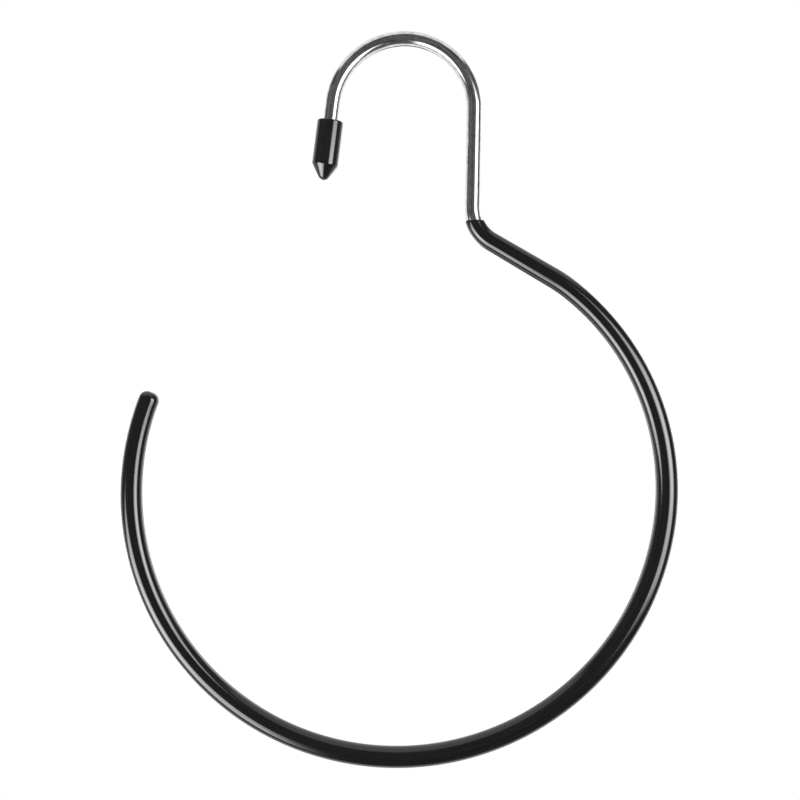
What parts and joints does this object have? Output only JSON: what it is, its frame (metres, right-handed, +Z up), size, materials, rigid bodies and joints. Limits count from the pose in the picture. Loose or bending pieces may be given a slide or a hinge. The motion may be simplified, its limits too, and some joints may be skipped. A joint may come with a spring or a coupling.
{
  "type": "scarf hanger",
  "caption": "Open-ring wire scarf hanger: a chrome closet hook runs into a glossy black dip-coated ring with a side mouth, and a black cap covers the hook's tip.",
  "frame": {"origin": "the inside of the hook's crown, on the wire's middle plane, where the closet rail bears", "axes": "+Z up along the hanging line, +X from the hook's open side to its shank, +Y away from the viewer, across the flat hanger and along the rail"},
  "size_m": [0.1783, 0.0082, 0.2356],
  "materials": {
    "chrome_wire": "bright nickel-chrome plating on drawn steel wire, very smooth, faint lengthwise drawing lines",
    "black_dip_coating": "glossy black PVC dip coating with a slight orange-peel ripple",
    "black_vinyl_cap": "satin-gloss black moulded vinyl, slightly rougher than the ring's coating"
  },
  "bodies": {
    "root": {"wire_frame": "chrome_wire", "ring_coating": "black_dip_coating", "hook_tip_cap": "black_vinyl_cap"}
  },
  "joints": []
}
